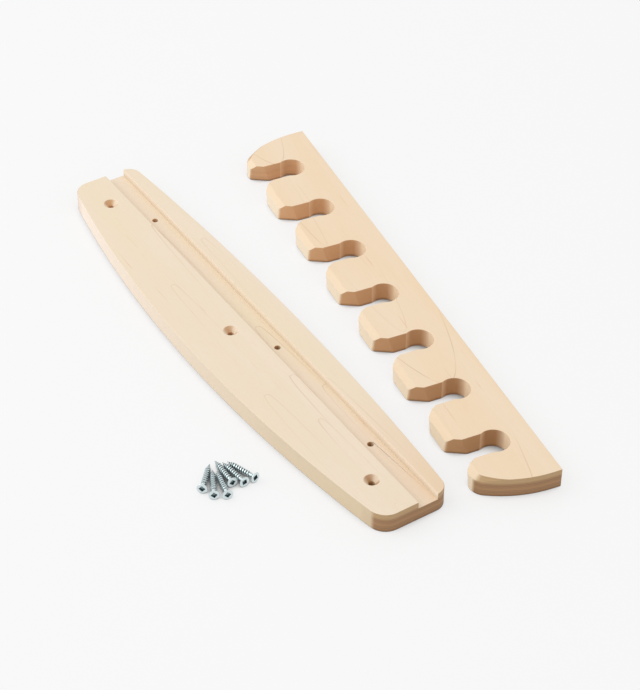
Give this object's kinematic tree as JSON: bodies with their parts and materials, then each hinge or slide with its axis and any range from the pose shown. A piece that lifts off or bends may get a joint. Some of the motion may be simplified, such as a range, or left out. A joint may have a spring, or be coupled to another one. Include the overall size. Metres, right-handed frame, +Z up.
{
  "type": "chisel rack",
  "caption": "Wall rack for chisels, laid out as a kit: bowed grooved back board, flat rail with a row of keyhole slots, and flat-head wood screws.",
  "frame": {"origin": "middle of the back board's wall face, on the surface that the kit lies on", "axes": "+X along the back board, +Y towards the slotted rail, +Z up, out of the board's grooved face"},
  "size_m": [0.404, 0.2415, 0.0135],
  "materials": {
    "maple": "sanded, bare or thinly oiled",
    "zinc": "bright zinc plate"
  },
  "bodies": {
    "root": {"back_board": "maple", "chisel_rail": "maple", "screw_1": "zinc", "screw_2": "zinc", "screw_3": "zinc", "screw_4": "zinc", "screw_5": "zinc", "screw_6": "zinc"}
  },
  "joints": []
}
